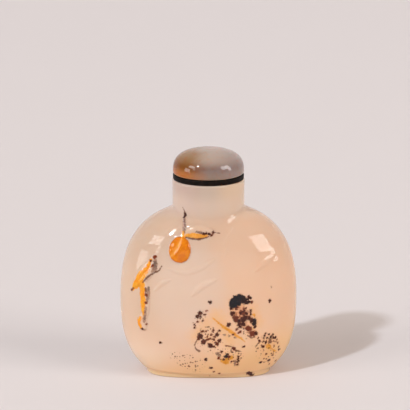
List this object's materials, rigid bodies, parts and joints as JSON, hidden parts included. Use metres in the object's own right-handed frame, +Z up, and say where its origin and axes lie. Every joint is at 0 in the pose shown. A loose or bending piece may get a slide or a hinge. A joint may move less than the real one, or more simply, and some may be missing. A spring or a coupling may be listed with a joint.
{
  "type": "snuff bottle",
  "caption": "Flattened agate bottle with an oval foot ring, wide neck, low relief fruit and twigs, black collar and lift-off domed stopper.",
  "frame": {"origin": "centre of the foot ring, on the surface that the bottle stands on", "axes": "+Z up through the neck and stopper, -Y towards the broad front with the relief, X along the bottle's width"},
  "size_m": [0.0502, 0.0292, 0.0644],
  "materials": {
    "pale_agate": "polished",
    "black_horn": "satin",
    "banded_agate": "polished",
    "cork": "matte"
  },
  "bodies": {
    "root": {"bottle": "pale_agate", "collar": "black_horn", "stopper": "banded_agate", "cork": "cork"}
  },
  "joints": []
}
